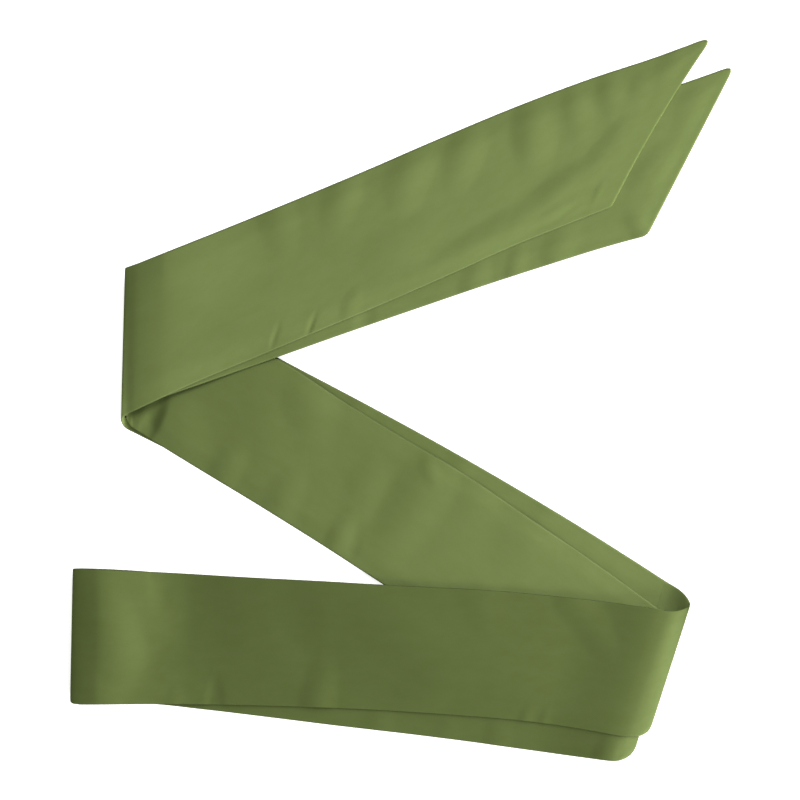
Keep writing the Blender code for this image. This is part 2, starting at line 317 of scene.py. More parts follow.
def upper_leg_under(x, y):
    over_middle = 1.0 - ramp(beyond(MIDDLE_LEG_UPPER_EDGE, x, y) - EDGE_MARGIN, OFF_MIDDLE_LEG)
    return WALL + 2 * PITCH * over_middle + swell(LEFT_OUTER_FOLD, LEFT_SWELL, LEFT_SETTLE, x, y)


def upper_leg_top(x, y):
    over_under = 1.0 - ramp(beyond(UPPER_LEG_UNDER_EDGE, x, y) - EDGE_MARGIN, OFF_UNDER_LAYER)
    return upper_leg_under(x, y) + PITCH * over_under


NEAR_LEFT_CROWN = (-190.0, 60.0)
highest = upper_leg_top(*np.array(NEAR_LEFT_CROWN)[:, None])[0]
print(f"the upper leg lies {highest:.1f} mm high just inside its crown")

# %% [markdown]
# ## Creases
#
# The band isn't ironed flat: handling has left soft ridges and troughs, mostly short ones that fade in
# from an edge, and a few long ones on the slant. Noise would give every leg the same restless surface. A
# table of creases, given one by one, keeps them as uneven as they really are. Each row is a line, a height,
# which is negative for a trough, a half width at either end, and where along the line the crease is
# highest.

# %% Creases of the lower leg
Crease = namedtuple("Crease", "from_x from_y to_x to_y height from_width to_width peak")

LOWER_LEG_CREASES = (
    Crease(-186.0, -132.0, -187.0, -158.0, -0.4, 13.0, 14.0, 0.1),
    Crease(-174.0, -148.0, -148.0, -176.0, -0.6, 40.0, 36.0, 0.4),
    Crease(-230.0, -160.0, -216.0, -206.0, 0.85, 26.0, 26.0, 0.5),
    Crease(-178.0, -240.0, -175.0, -226.0, 0.2, 8.0, 9.0, 0.0),
    Crease(-182.0, -240.0, -172.0, -210.0, 0.9, 36.0, 30.0, 0.1),
    Crease(-145.0, -242.0, -144.0, -216.0, -0.45, 10.0, 8.0, 0.1),
    Crease(-88.0, -150.0, -76.0, -186.0, -0.3, 26.0, 24.0, 0.4),
    Crease(-66.0, -243.0, -60.0, -208.0, 0.7, 17.0, 18.0, 0.0),
    Crease(-122.0, -186.0, -84.0, -206.0, 0.3, 28.0, 26.0, 0.5),
    Crease(-20.0, -170.0, 20.0, -196.0, 0.35, 28.0, 30.0, 0.5),
    Crease(10.0, -232.0, 40.0, -214.0, 0.25, 24.0, 26.0, 0.5),
    Crease(60.0, -144.0, 72.0, -178.0, 0.35, 22.0, 22.0, 0.0),
    Crease(96.0, -252.0, 102.0, -238.0, 0.25, 7.0, 7.0, 0.0),
    Crease(112.0, -250.0, 115.0, -240.0, 0.2, 6.0, 6.0, 0.0),
    Crease(132.0, -150.0, 160.0, -192.0, 0.8, 20.0, 18.0, 0.2),
)
LOWER_LEG_UNDER_CREASES = (
    Crease(-20.0, -262.0, -14.0, -240.0, 0.3, 14.0, 16.0, 0.0),
    Crease(34.0, -266.0, 40.0, -246.0, 0.2, 12.0, 14.0, 0.0),
    Crease(74.0, -272.0, 80.0, -246.0, 0.3, 13.0, 15.0, 0.0),
    Crease(158.0, -282.0, 166.0, -258.0, 0.5, 12.0, 12.0, 0.0),
)
print("creases on the lower leg:", len(LOWER_LEG_CREASES), "over", len(LOWER_LEG_UNDER_CREASES))

# %% Creases of the middle leg
MIDDLE_LEG_CREASES = (
    Crease(-199.0, -27.0, -185.0, 4.0, -1.5, 9.5, 9.5, 0.4),
    Crease(-182.0, 0.0, -172.0, -36.0, 0.8, 30.0, 30.0, 0.6),
    Crease(-140.0, -62.0, -128.0, -38.0, 0.6, 15.0, 17.0, 0.1),
    Crease(-98.0, -90.0, -84.0, -62.0, 0.55, 17.0, 19.0, 0.1),
    Crease(-72.0, 8.0, -68.0, -24.0, 0.6, 26.0, 26.0, 0.4),
    Crease(-52.0, -114.0, -40.0, -92.0, 0.55, 11.0, 13.0, 0.1),
    Crease(-38.0, -120.0, -32.0, -104.0, -0.25, 7.0, 8.0, 0.1),
    Crease(-116.0, -4.0, -100.0, -34.0, 0.3, 26.0, 26.0, 0.5),
    Crease(-22.0, -56.0, -34.0, -84.0, 0.4, 20.0, 20.0, 0.4),
    Crease(30.0, -52.0, -14.0, -120.0, 0.9, 28.0, 26.0, 0.4),
    Crease(21.0, -50.0, 27.0, -62.0, 0.3, 9.0, 10.0, 0.2),
    Crease(68.0, -60.0, 54.0, -86.0, 0.25, 20.0, 20.0, 0.3),
    Crease(114.0, -80.0, 92.0, -122.0, 0.75, 32.0, 32.0, 0.4),
    Crease(66.0, -150.0, 56.0, -166.0, 0.3, 16.0, 16.0, 0.0),
    Crease(204.0, -150.0, 190.0, -178.0, 0.8, 14.0, 14.0, 0.5),
)
MIDDLE_LEG_UNDER_CREASES = (
    Crease(-28.0, 4.0, -36.0, -18.0, 0.3, 16.0, 16.0, 0.0),
    Crease(54.0, -36.0, 44.0, -60.0, 0.4, 16.0, 16.0, 0.0),
    Crease(120.0, -76.0, 110.0, -100.0, 0.3, 18.0, 18.0, 0.0),
)
print("creases on the middle leg:", len(MIDDLE_LEG_CREASES), "over", len(MIDDLE_LEG_UNDER_CREASES))

# %% Creases of the upper leg
UPPER_LEG_CREASES = (
    Crease(-98.0, 152.0, -92.0, 122.0, 0.5, 20.0, 20.0, 0.1),
    Crease(-128.0, 62.0, -88.0, 84.0, 0.3, 28.0, 26.0, 0.5),
    Crease(-44.0, 166.0, -52.0, 140.0, 0.55, 18.0, 18.0, 0.1),
    Crease(-20.0, 176.0, -30.0, 158.0, -0.2, 14.0, 14.0, 0.3),
    Crease(12.0, 190.0, 0.0, 156.0, 0.8, 20.0, 21.0, 0.3),
    Crease(55.0, 206.0, 44.0, 174.0, 0.75, 18.0, 18.0, 0.4),
    Crease(103.0, 220.0, 104.0, 194.0, 1.15, 20.0, 21.0, 0.5),
    Crease(136.0, 236.0, 140.0, 208.0, 0.5, 14.0, 15.0, 0.3),
    Crease(164.0, 246.0, 172.0, 214.0, 0.55, 15.0, 16.0, 0.2),
    Crease(190.0, 248.0, 180.0, 222.0, 0.45, 12.0, 13.0, 0.4),
    Crease(216.0, 270.0, 204.0, 252.0, 0.4, 11.0, 12.0, 0.1),
    Crease(24.0, 102.0, 98.0, 143.0, 0.65, 13.0, 17.0, 0.8),
    Crease(98.0, 144.0, 154.0, 184.0, 0.95, 17.0, 16.0, 0.5),
    Crease(154.0, 184.0, 182.0, 220.0, 0.6, 15.0, 12.0, 0.4),
    Crease(96.0, 131.0, 152.0, 165.0, 0.3, 6.0, 6.0, 0.6),
    Crease(134.0, 158.0, 149.0, 148.0, 0.16, 3.6, 4.0, 0.5),
    Crease(145.0, 166.0, 160.0, 156.0, 0.18, 4.0, 4.0, 0.5),
    Crease(127.0, 142.0, 144.0, 153.0, 0.16, 3.4, 4.0, 0.5),
    Crease(151.0, 154.0, 158.0, 170.0, 0.18, 4.0, 4.0, 0.5),
    Crease(-101.0, 40.0, -93.0, 64.0, -0.2, 3.0, 3.4, 0.3),
    Crease(-72.5, 51.0, -65.0, 70.0, -0.32, 2.8, 3.0, 0.3),
    Crease(-41.0, 68.0, -34.0, 84.0, 0.3, 9.0, 9.0, 0.2),
    Crease(-16.0, 112.0, 20.0, 134.0, 0.4, 24.0, 22.0, 0.5),
    Crease(62.0, 170.0, 92.0, 158.0, 0.3, 20.0, 20.0, 0.5),
    Crease(-162.0, 34.0, -120.0, 50.0, 0.25, 20.0, 20.0, 0.5),
)
UPPER_LEG_UNDER_CREASES = (
    Crease(-30.0, 54.0, -25.0, 74.0, -0.25, 10.0, 10.0, 0.4),
    Crease(57.0, 88.0, 64.0, 112.0, 0.35, 14.0, 14.0, 0.0),
    Crease(89.0, 98.0, 94.0, 122.0, 0.3, 10.0, 11.0, 0.0),
    Crease(122.0, 112.0, 132.0, 138.0, 0.4, 16.0, 16.0, 0.0),
    Crease(191.0, 128.0, 180.0, 148.0, 0.4, 12.0, 13.0, 0.1),
    Crease(210.0, 196.0, 184.0, 166.0, 0.45, 14.0, 14.0, 0.5),
    Crease(234.0, 242.0, 220.0, 216.0, 0.35, 13.0, 14.0, 0.3),
)
print("creases on the upper leg:", len(UPPER_LEG_CREASES), "over", len(UPPER_LEG_UNDER_CREASES))

# %% Height of the creases
def creased(table, x, y):
    """Height that creases add at each point: soft ovals along their lines, highest at their peaks."""
    added = np.zeros_like(x)
    for crease in table:
        run_x, run_y = crease.to_x - crease.from_x, crease.to_y - crease.from_y
        length = np.hypot(run_x, run_y)
        along = ((x - crease.from_x) * run_x + (y - crease.from_y) * run_y) / length
        away = ((y - crease.from_y) * run_x - (x - crease.from_x) * run_y) / length
        t = np.clip(along / length, 0.0, 1.0)
        width = crease.from_width + (crease.to_width - crease.from_width) * t
        past_peak = along - crease.peak * length
        reach = np.where(past_peak > 0.0, (1.0 - crease.peak) * length, crease.peak * length) + width
        near = np.clip(1.0 - (past_peak / reach) ** 2 - (away / width) ** 2, 0.0, 1.0)
        added += crease.height * near**2
    return added


all_creases = (*LOWER_LEG_CREASES, *MIDDLE_LEG_CREASES, *UPPER_LEG_CREASES)
print("highest crease:", max(crease.height for crease in all_creases), "mm")

# %% [markdown]
# ## From tables to a smooth face
#
# A loft joins sections into a surface. Straight strips between the rows would show as kinks in the sheen,
# so the edges follow cubic curves through the rows instead. The grid is close to 2 mm along and across,
# and much finer at the turned edges, because a highlight shows every facet there.

# %% Lines across the band
ACROSS_STEP = 2.1
EDGE_ROUND = 1.3
ROUND_STEPS = 5


def rounding_stops():
    """Distances from a turned edge at even steps round its curve."""
    return EDGE_ROUND * (1.0 - np.cos(np.linspace(0.0, pi / 2, ROUND_STEPS + 1)))


def across_shares():
    """Where the grid's lines lie across the band: 0 at its lower edge and 1 at its upper one."""
    rim = rounding_stops() / BAND
    flat = np.linspace(rim[-1], 1.0 - rim[-1], round(BAND / ACROSS_STEP) + 1)
    return np.concatenate([rim[:-1], flat, 1.0 - rim[-2::-1]])


SHARES = across_shares()
print(len(SHARES), "lines across each ply")

# %% Loft a leg
ALONG_STEP = 1.9


def hermite(knots, values, slopes, at):
    """Values at the given places on the cubic curve through the knots with these slopes."""
    span = np.clip(np.searchsorted(knots, at, side="right") - 1, 0, len(knots) - 2)
    width = (knots[span + 1] - knots[span])[:, None]
    t = (at - knots[span])[:, None] / width
    start = (1 + 2 * t) * (1 - t) ** 2 * values[span] + t * (1 - t) ** 2 * width * slopes[span]
    end = t**2 * (3 - 2 * t) * values[span + 1] - t**2 * (1 - t) * width * slopes[span + 1]
    return start + end


def across(upper, lower):
    """Points across the cloth from its lower to its upper edge, one row for each section."""
    share = SHARES[None, :, None]
    return lower[:, None, :] * (1.0 - share) + upper[:, None, :] * share


def leg_sections(first, table, last, closed=False):
    """Points in plan on a stretch between two end sections, with close rows at a sewn end."""
    knots = np.array([first, *table, last])
    middles = (knots[:, :2] + knots[:, 2:]) / 2
    places = np.concatenate([[0.0], np.cumsum(np.linalg.norm(np.diff(middles, axis=0), axis=1))])
    slopes = np.gradient(knots, places, axis=0, edge_order=2)
    closing = rounding_stops()[::-1] if closed else np.zeros(1)
    stops = np.linspace(0.0, places[-1] - closing[0], round(places[-1] / ALONG_STEP) + 1)
    stops = np.concatenate([stops, places[-1] - closing[1:]])
    sections = hermite(places, knots, slopes, stops)
    return across(sections[:, :2], sections[:, 2:])


print("a row every", ALONG_STEP, "mm along a leg")

# %% [markdown]
# ## Round a fold
#
# The rows of two legs meet at a fold: one above, at the crown, and one below, at the heel. Between them
# the turn follows two profiles. One is its side view, height against distance from the crest, which is
# part of an ellipse or an even slope. The other says where the band's two edges run, and it starts and
# ends in the directions that the legs have there, so that no kink shows in the satin.

# %% Lines and corners of a fold
CORNER_SLIDE = 0.25


def fold_line(fold, inset, lower, upper):
    """The section that lies at one inset inside a fold's crest."""
    along, inward = fold_axes(fold)
    start = np.array([fold.x, fold.y]) + inset * inward
    return Section(*(start + upper * along), *(start + lower * along))


def crown_line(fold):
    """The section where a leg ends and its fold begins to turn."""
    return fold_line(fold, fold.crown_inset, fold.crown_lower, fold.crown_upper)


def heel_line(fold):
    """The section where a fold has turned and the next stretch begins."""
    return fold_line(fold, fold.heel_inset, fold.heel_lower, fold.heel_upper)


def edge_runs(fold, row, inner):
    """How fast the band's two edges move along the crest line, as a leg's last row nears it."""
    along, inward = fold_axes(fold)
    run = (row - inner)[[0, -1], :2]
    return -(run @ along) / (run @ inward)


def soften_corner(plan, corner, side_from, end_from, reach):
    """Rounds the corner of a grid between its side edge and its end edge, within reach of both."""
    side = (side_from - corner) / np.linalg.norm(side_from - corner)
    end = (end_from - corner) / np.linalg.norm(end_from - corner)
    slanted = (plan - corner) @ np.linalg.inv(np.array([side, end]))
    near = np.clip(1.0 - slanted.sum(axis=2) / reach, 0.0, 1.0) ** 2
    return plan + CORNER_SLIDE * reach * near[..., None] * (side + end)


print("the left fold's crown runs", [round(float(value), 1) for value in crown_line(LEFT_OUTER_FOLD)])

# %% Side view of a turn
CROWN_STEPS = 18
HEEL_STEPS = 10
FACET_BEND = 0.5
OPENING_FROM, OPENING_POWER = 0.8, 2.2


def turn_profile(fold, crown_heights):
    """Insets from the crest, and heights for every line across the band, from a crown to its heel."""
    crown_turns = np.radians(np.linspace(0.0, 90.0, CROWN_STEPS + 1))
    heel_turns = np.radians(np.linspace(0.0, 90.0, HEEL_STEPS + 1))[1:]
    insets = np.concatenate(
        [fold.crown_inset * (1 - np.sin(crown_turns)), fold.heel_inset * (1 - np.cos(heel_turns))]
    )
    # As far as facet says, an even slope with a round start takes the place of the ellipse.
    past = np.sin(crown_turns)
    bending = np.where(past < FACET_BEND, past**2, (2.0 * past - FACET_BEND) * FACET_BEND)
    sloping = 1.0 - bending / ((2.0 - FACET_BEND) * FACET_BEND)
    fall = fold.facet * sloping + (1.0 - fold.facet) * np.cos(crown_turns)
    rise = (crown_heights - fold.nose_height)[None, :] * fall[:, None]
    # As far as opening says, the band's upper end goes almost straight from the nose to the heel.
    straight = fold.opening * ramp(SHARES - OPENING_FROM, 1.0 - OPENING_FROM)[None, :]
    bent = np.sin(heel_turns)[:, None]
    dip = bent + straight * (1.0 - np.cos(heel_turns)[:, None] ** OPENING_POWER - bent)
    return insets, fold.nose_height + np.concatenate([rise, (fold.heel_height - fold.nose_height) * dip])


print("a fold turns in", CROWN_STEPS + HEEL_STEPS, "steps")

# %% Turn a fold
def turn_edges(fold, lengths, crown_runs, heel_runs):
    """Where the band's lower and upper edges are along the crest line, at each length round a turn."""
    knots = lengths[[0, CROWN_STEPS, -1]]
    edges = np.array(
        [
            [fold.crown_lower, fold.crown_upper],
            [fold.nose_lower, fold.nose_upper],
            [fold.heel_lower, fold.heel_upper],
        ]
    )
    if fold.shoulder:
        # One more knot before the nose, up to which the edges hold the leg's own direction.
        knots = np.insert(knots, 1, knots[1] - fold.shoulder)
        edges = np.insert(edges, 1, edges[0] + crown_runs * knots[1], axis=0)
    runs = np.diff(edges, axis=0) / np.diff(knots)[:, None]
    nose_runs = runs[-2:].mean(axis=0) * (fold.lower_turn, fold.upper_turn)
    slopes = [crown_runs] * (len(knots) - 2) + [nose_runs, heel_runs]
    return hermite(knots, edges, np.array(slopes), lengths)


def turn(fold, crown, inner, heel, inner_heel):
    """Points round a fold, from just past its crown to its heel.

    crown and heel are the rows of the two legs that meet here, and the inner ones are the rows next to them.
    """
    insets, heights = turn_profile(fold, crown[:, 2])
    steps = np.hypot(np.diff(insets), np.diff(heights[:, 0]))
    lengths = np.concatenate([[0.0], np.cumsum(steps)])
    edges = turn_edges(fold, lengths, edge_runs(fold, crown, inner), -edge_runs(fold, heel, inner_heel))

    along, inward = fold_axes(fold)
    crest = np.array([fold.x, fold.y]) + insets[:, None] * inward
    plan = across(crest + edges[:, 1:] * along, crest + edges[:, :1] * along)
    if fold.round_lower:
        nose = plan[CROWN_STEPS]
        plan = soften_corner(plan, nose[0], plan[CROWN_STEPS // 2, 0], nose[-1], fold.round_lower)
    return np.dstack([plan, heights])[1:]


print("folds with a round lower corner:", sum(fold.round_lower > 0 for fold in FOLDS))

# %% [markdown]
# ## Slanted ends with soft corners
#
# The ends are cut on a slant, sewn and turned, and no needle turns a point out perfectly. So the corners
# are round, and a seam on the bias draws the end in a little at its middle. A corner is rounded here by
# sliding the grid itself, so the rows stay in order. In the two slanting axes of the corner, the slide
# that turns its sides into a smooth quadratic curve is a quarter of the reach, fading with the square of
# the distance. Folds round their lower corners in the same way.

# %% Shape the sewn ends
SIDE_ROWS = 12


def sewn_end(plan, drawn_in, draw_reach, upper_reach, lower_reach):
    """A leg's plan with its sewn end drawn in at the middle and round at both corners.

    The second array is each point's distance from the end before it was drawn in.
    """
    lower, upper = plan[-1, 0].copy(), plan[-1, -1].copy()
    run = (upper - lower) / np.linalg.norm(upper - lower)
    outward = np.array([run[1], -run[0]])
    inside = (lower - plan) @ outward
    bow = 4.0 * SHARES * (1.0 - SHARES)
    fade = 1.0 - ramp(inside, draw_reach)
    plan = plan - (drawn_in * bow[None, :] * fade)[..., None] * outward
    plan = soften_corner(plan, upper, plan[-SIDE_ROWS, -1], lower, upper_reach)
    return soften_corner(plan, lower, plan[-SIDE_ROWS, 0], upper, lower_reach), np.abs(inside)


print("a side's direction at a corner is taken", SIDE_ROWS, "rows in")

# %% [markdown]
# ## Two plies from one face
#
# A plain sheet could be thickened with Solidify and would look like card. The real band is a flat tube: two
# plies that part in the middle and meet in a rounded edge. So each section becomes a ring. It goes across
# the outer ply, round the edge and back across the inner one. The air between the plies puffs the outer
# one up a little in the middle of the band. Where a trough would push the band into the layer below, only
# the outer ply sinks further. Solidify then gives this tube the thickness of the cloth, on the inside.

# %% Wrap a tube
# The air lifts the outer ply by PUFF, fading over PUFF_REACH at the turned edges and over JOIN_REACH where
# a stretch joins the next. A trough bends both plies down by SAG at most. An end gets one more row at
# CLOSE_ROW of a step.
PUFF, PUFF_REACH, JOIN_REACH = 0.5, 15.0, 30.0
SAG = 0.3
CLOSE_ROW = 0.05


def face_normals(face):
    """Unit normals of a grid of points, on the outer side of the band."""
    normals = np.cross(np.gradient(face, axis=0), np.gradient(face, axis=1))
    return normals / np.linalg.norm(normals, axis=2, keepdims=True)


def cloth_lengths(rows):
    """Distance along the cloth of each row, measured at the middle of its outer ply."""
    line = rows[:, len(SHARES) // 2]
    return np.concatenate([[0.0], np.cumsum(np.linalg.norm(np.diff(line, axis=0), axis=1))])


def short_ends(rows, closed):
    """Rows with one more close to each open end, so the shading carries on into the next stretch."""
    first = (1.0 - CLOSE_ROW) * rows[:1] + CLOSE_ROW * rows[1:2]
    last = rows[-1:-1] if closed else (1.0 - CLOSE_ROW) * rows[-1:] + CLOSE_ROW * rows[-2:-1]
    return np.concatenate([rows[:1], first, rows[1:-1], last, rows[-1:]])


def tube(face, creases, from_end=None):
    """Rings of points round both plies of a stretch whose plain outer face is given.

    Two more arrays say how far each point is from the nearest long edge and from a sewn end.
    """
    normals = face_normals(face)
    from_side = np.repeat(BAND * np.minimum(SHARES, 1.0 - SHARES)[None, :], len(face), axis=0)
    to_end = np.full_like(from_side, BAND) if from_end is None else from_end
    from_edge = np.minimum(from_side, to_end)
    # Half of the band's thickness, which goes to nothing in a quarter round at a turned edge.
    turned = 1.0 - np.clip(from_edge / EDGE_ROUND, 0.0, 1.0)
    half = (WALL / 2 * np.sqrt(1.0 - turned**2))[..., None]
    # Creases and air belong to cloth that lies flat, and fade out where a fold turns it over.
    faces_up = np.clip(normals[..., 2], 0.0, 1.0)
    fold = creased(creases, face[..., 0], face[..., 1]) * faces_up
    lift = np.maximum(fold, -SAG)
    lengths = cloth_lengths(face)
    from_join = lengths if from_end is not None else np.minimum(lengths, lengths[-1] - lengths)
    air = PUFF * faces_up * ramp(from_join, JOIN_REACH)[:, None]
    puff = (air + fold - lift) * ramp(from_edge, PUFF_REACH)
    middle = face + normals * (lift[..., None] - WALL / 2)
    outer = middle + normals * (half + puff[..., None])
    inner = middle - normals * half
    rings = np.concatenate([outer, inner[:, -2:0:-1]], axis=1)
    round_both = [np.concatenate([far, far[:, -2:0:-1]], axis=1) for far in (from_side, to_end)]
    return rings, *round_both


print("a ring has", 2 * len(SHARES) - 2, "points")

# %% [markdown]
# The weave needs to know where along and across the cloth it is, also round the folds. A map named
# cloth_grain carries that, in metres: u runs along the sash, as its warp threads do, and v round the
# tube. Two more values at each point, from_side and from_end, are its distances in millimetres from the
# nearest long edge and from a sewn end.

# %% Make the mesh
def tube_mesh(name, rings, **distances):
    """A mesh through rings of points, with its grain map and its named distances from edges."""
    rows, around = rings.shape[:2]
    number = np.arange(rows * around).reshape(rows, around)
    number = np.concatenate([number, number[:, :1]], axis=1)
    corners = np.stack([number[:-1, :-1], number[1:, :-1], number[1:, 1:], number[:-1, 1:]], axis=-1)
    mesh = bpy.data.meshes.new(name)
    mesh.from_pydata(rings.reshape(-1, 3) * MM, [], corners.reshape(-1, 4))
    u = np.repeat(cloth_lengths(rings)[:, None], around + 1, axis=1)
    v = np.concatenate([SHARES, 2.0 - SHARES[-2::-1]]) * BAND
    grain = np.stack([u, np.repeat(v[None, :], rows, axis=0)], axis=-1) * MM
    grain = np.stack([grain[:-1, :-1], grain[1:, :-1], grain[1:, 1:], grain[:-1, 1:]], axis=2)
    for edge, distance in distances.items():
        mesh.attributes.new(edge, "FLOAT", "POINT").data.foreach_set("value", distance.ravel())
    mesh.uv_layers.new(name="cloth_grain").uv.foreach_set("vector", grain.astype(np.float32).ravel())
    mesh.shade_smooth()
    return mesh


print("grain map runs along the sash and round it")

# %% [markdown]
# ## The satin
#
# Dress satin of this kind is woven polyester filament. In a satin weave each warp thread floats over four
# or more weft threads before it goes under one, so what meets the eye is almost only smooth, parallel,
# untwisted filament. That gives the eye three things: a broad soft sheen in place of a sharp highlight,
# more spread across the threads than along them, and a very fine grain that shows only close up.
#
# A Principled shader covers all of it. Filament polyester has an IOR near 1.55. The roughness is that of
# a matt, heavy satin, and the anisotropy follows the grain map, so the sheen turns with the cloth. Light
# that comes back out of dyed filament has the colour of the dye, while plain gloss is white, so part of
# the shader is made metallic to give the sheen that colour.

# %% Colour and node helpers
def linear(hex_colour):
    """The linear colour of an sRGB hex value, which is what a shader works in."""
    channels = [int(hex_colour[i : i + 2], 16) / 255 for i in (1, 3, 5)]
    curve = [c / 12.92 if c <= 0.04045 else ((c + 0.055) / 1.055) ** 2.4 for c in channels]
    return (*curve, 1.0)


def add_node(tree, kind, values=(), links=(), **settings):
    """Adds a node: its settings, the values of its sockets, and the links that feed them."""
    node = tree.nodes.new(kind)
    for name, value in settings.items():
        setattr(node, name, value)
    for socket, value in dict(values).items():
        node.inputs[socket].default_value = value
    for socket, source in dict(links).items():
        tree.links.new(source, node.inputs[socket])
    return node


print("sRGB #808080 is", round(linear("#808080")[0], 3), "in linear light")

# %% Floats of the weave
# Real warp threads here are about 0.12 mm apart, which no picture of the whole sash can show. The floats
# are drawn 0.6 mm apart and 3 mm long, as coarse as they need to be to show as a faint grain close up.
# Real satin steps each float on from the one beside it. Here they lie side by side without a step: with
# an offset frequency of 1, the node moves every row on by the same ROW_OFFSET of a float.
THREAD_PITCH = 0.0006
FLOAT_LENGTH = 0.003
ROW_OFFSET = 0.4
GAP_SHARE = 0.12
LOW_FLOAT, HIGH_FLOAT = 0.42, 0.58

SATIN = bpy.data.materials.new("woven_polyester_satin")
SATIN.use_nodes = True
tree = SATIN.node_tree
tree.nodes.clear()
grain = add_node(tree, "ShaderNodeUVMap", uv_map="cloth_grain").outputs["UV"]
floats = add_node(
    tree,
    "ShaderNodeTexBrick",
    {
        "Color1": (LOW_FLOAT, LOW_FLOAT, LOW_FLOAT, 1.0),
        "Color2": (HIGH_FLOAT, HIGH_FLOAT, HIGH_FLOAT, 1.0),
        "Mortar": (0.0, 0.0, 0.0, 1.0),
        "Scale": 1.0,
        "Mortar Size": THREAD_PITCH * GAP_SHARE,
        "Mortar Smooth": 1.0,
        "Brick Width": FLOAT_LENGTH,
        "Row Height": THREAD_PITCH,
    },
    {"Vector": grain},
    offset=ROW_OFFSET,
    offset_frequency=1,
)
print("satin: threads drawn every", THREAD_PITCH * 1000, "mm")

# %% Uneven sheen
# Handled satin isn't quite even: over 10 to 20 mm it is a shade lighter or darker. A soft noise, stretched
# along the threads, mixes two dyes that are almost the same.
PATCHES_PER_METRE = (50.0, 110.0, 1.0)
PATCH_DETAIL, PATCH_ROUGHNESS = 7.0, 0.75
DARKEST_PATCH, LIGHTEST_PATCH = 0.3, 0.7
DARKER_DYE, LIGHTER_DYE = "#68773c", "#6c7b42"

patches = add_node(tree, "ShaderNodeMapping", {"Scale": PATCHES_PER_METRE}, {"Vector": grain})
uneven = add_node(
    tree,
    "ShaderNodeTexNoise",
    {"Scale": 1.0, "Detail": PATCH_DETAIL, "Roughness": PATCH_ROUGHNESS},
    {"Vector": patches.outputs["Vector"]},
    noise_dimensions="2D",
)
shade = add_node(
    tree,
    "ShaderNodeMapRange",
    {"From Min": DARKEST_PATCH, "From Max": LIGHTEST_PATCH, "To Min": 0.0, "To Max": 1.0},
    {"Value": uneven.outputs["Fac"]},
)
colour = add_node(
    tree,
    "ShaderNodeMix",
    {"A": linear(DARKER_DYE), "B": linear(LIGHTER_DYE)},
    {"Factor": shade.outputs["Result"]},
    data_type="RGBA",
)
print("dye between", DARKER_DYE, "and", LIGHTER_DYE)

# %% Painted shade and highlight along the edges
# A thin dark line along each long edge, where the cloth turns over, is painted shade, and a thin light one
# along each sewn end is a painted highlight. Under these lights the modelled edges hardly draw either line,
# so both are painted into the dye colour. Up to nearest, in millimetres from the edge, the colour is
# multiplied by the painted factor, and by farthest it is itself.
PaintedEdgeShading = namedtuple("PaintedEdgeShading", "edge nearest farthest tint")
PAINTED_EDGE_SHADING = (
    PaintedEdgeShading("from_side", 0.15, 0.5, 0.45),
    PaintedEdgeShading("from_end", 0.5, 1.4, 1.35),
)

dye_with_painted_edges = colour.outputs["Result"]
# Each pass multiplies a painted shade or a painted highlight into the dye colour near its edge.
for line in PAINTED_EDGE_SHADING:
    distance = add_node(tree, "ShaderNodeAttribute", attribute_name=line.edge)
    fading = add_node(
        tree,
        "ShaderNodeMapRange",
        {"From Min": line.nearest, "From Max": line.farthest, "To Min": line.tint, "To Max": 1.0},
        {"Value": distance.outputs["Fac"]},
        interpolation_type="SMOOTHSTEP",
    )
    painted_edge_node = add_node(
        tree,
        "ShaderNodeVectorMath",
        links={0: dye_with_painted_edges, 1: fading.outputs["Result"]},
        operation="MULTIPLY",
    )
    dye_with_painted_edges = painted_edge_node.outputs["Vector"]
print("lines along the edges:", ", ".join(line.edge for line in PAINTED_EDGE_SHADING))

# %% Woven polyester satin
# An anisotropic rotation of a quarter turn spreads the sheen across the threads. NAP is a faint haze at
# grazing angles. FLOAT_RISE is in metres, as every length in a shader is.
LUSTRE = 0.6
ROUGHNESS = 0.62
FILAMENT_IOR = 1.55
GRAIN_STRETCH = 0.95
ACROSS_THREADS = 0.25
NAP, NAP_ROUGHNESS = 0.05, 0.5
FLOAT_RISE, RISE_SHOWN = 0.00004, 0.25

bump = add_node(
    tree,
    "ShaderNodeBump",
    {"Strength": RISE_SHOWN, "Distance": FLOAT_RISE},
    {"Height": floats.outputs["Color"]},
)
threads = add_node(tree, "ShaderNodeTangent", direction_type="UV_MAP", uv_map="cloth_grain")
shader = add_node(
    tree,
    "ShaderNodeBsdfPrincipled",
    {
        "Metallic": LUSTRE,
        "Roughness": ROUGHNESS,
        "IOR": FILAMENT_IOR,
        "Anisotropic": GRAIN_STRETCH,
        "Anisotropic Rotation": ACROSS_THREADS,
        "Sheen Weight": NAP,
        "Sheen Roughness": NAP_ROUGHNESS,
    },
    {
        # The base colour is the dye with the painted edge shade and painted highlight in it.
        "Base Color": dye_with_painted_edges,
        "Normal": bump.outputs["Normal"],
        "Tangent": threads.outputs["Tangent"],
    },
)
add_node(tree, "ShaderNodeOutputMaterial", links={"Surface": shader.outputs["BSDF"]})
print("satin shader with", len(tree.nodes), "nodes")

# %% [markdown]
# ## Dress each stretch
#
# Six pieces stand for the six solids. Each keeps its solid's place and form. Where a stretch turns a
# fold, the fold belongs to it as far as its heel, and there the next stretch carries on with the same two
# plies.

# %% Points of the six stretches
def placed(plan, level):
    """A plan with the height of its stretch at every point."""
    return np.dstack([plan, level(plan[..., 0], plan[..., 1])])


# The drawing-in of a sewn end fades out over this length.
DRAW_REACH = 50.0

